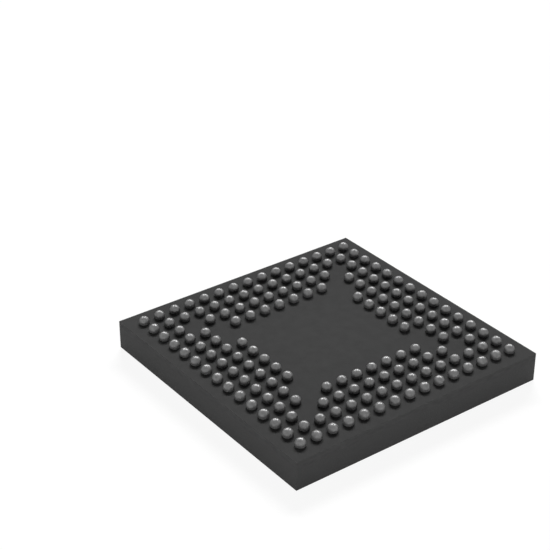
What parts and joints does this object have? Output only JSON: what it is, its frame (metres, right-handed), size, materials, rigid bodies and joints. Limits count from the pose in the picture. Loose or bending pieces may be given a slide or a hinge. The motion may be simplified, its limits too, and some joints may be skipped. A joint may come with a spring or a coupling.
{
  "type": "fpga chip",
  "caption": "Square black moulded chip with a fine-pitch array of solder balls on its board side, in full outer rings round a bare middle. It lies with the balls up.",
  "frame": {"origin": "middle of the flat marking face, on which the chip lies", "axes": "+Z out of the ball side; +X along a lettered row of balls, towards column 15; +Y from row A towards row R"},
  "size_m": [0.008, 0.008, 0.001],
  "materials": {
    "mould_compound": "matt black epoxy mould compound with fine silica filler, sawn on its sides",
    "silicon": "ground grey silicon, sealed inside",
    "die_attach_adhesive": "cured adhesive film, sealed inside",
    "board_laminate": "black resin and glass laminate, sawn on its sides",
    "solder_mask": "matt black solder mask",
    "solder": "satin tin, silver and copper solder with a finely dendritic skin"
  },
  "bodies": {
    "root": {"mould_cap": "mould_compound", "silicon_die": "silicon", "die_attach_film": "die_attach_adhesive", "die_side_solder_mask": "solder_mask", "board_core": "board_laminate", "ball_side_solder_mask": "solder_mask", "solder_balls_row_a": "solder", "solder_balls_row_b": "solder", "solder_balls_row_c": "solder", "solder_balls_row_d": "solder", "solder_balls_row_e": "solder", "solder_balls_row_f": "solder", "solder_balls_row_g": "solder", "solder_balls_row_h": "solder", "solder_balls_row_j": "solder", "solder_balls_row_k": "solder", "solder_balls_row_l": "solder", "solder_balls_row_m": "solder", "solder_balls_row_n": "solder", "solder_balls_row_p": "solder", "solder_balls_row_r": "solder"}
  },
  "joints": []
}
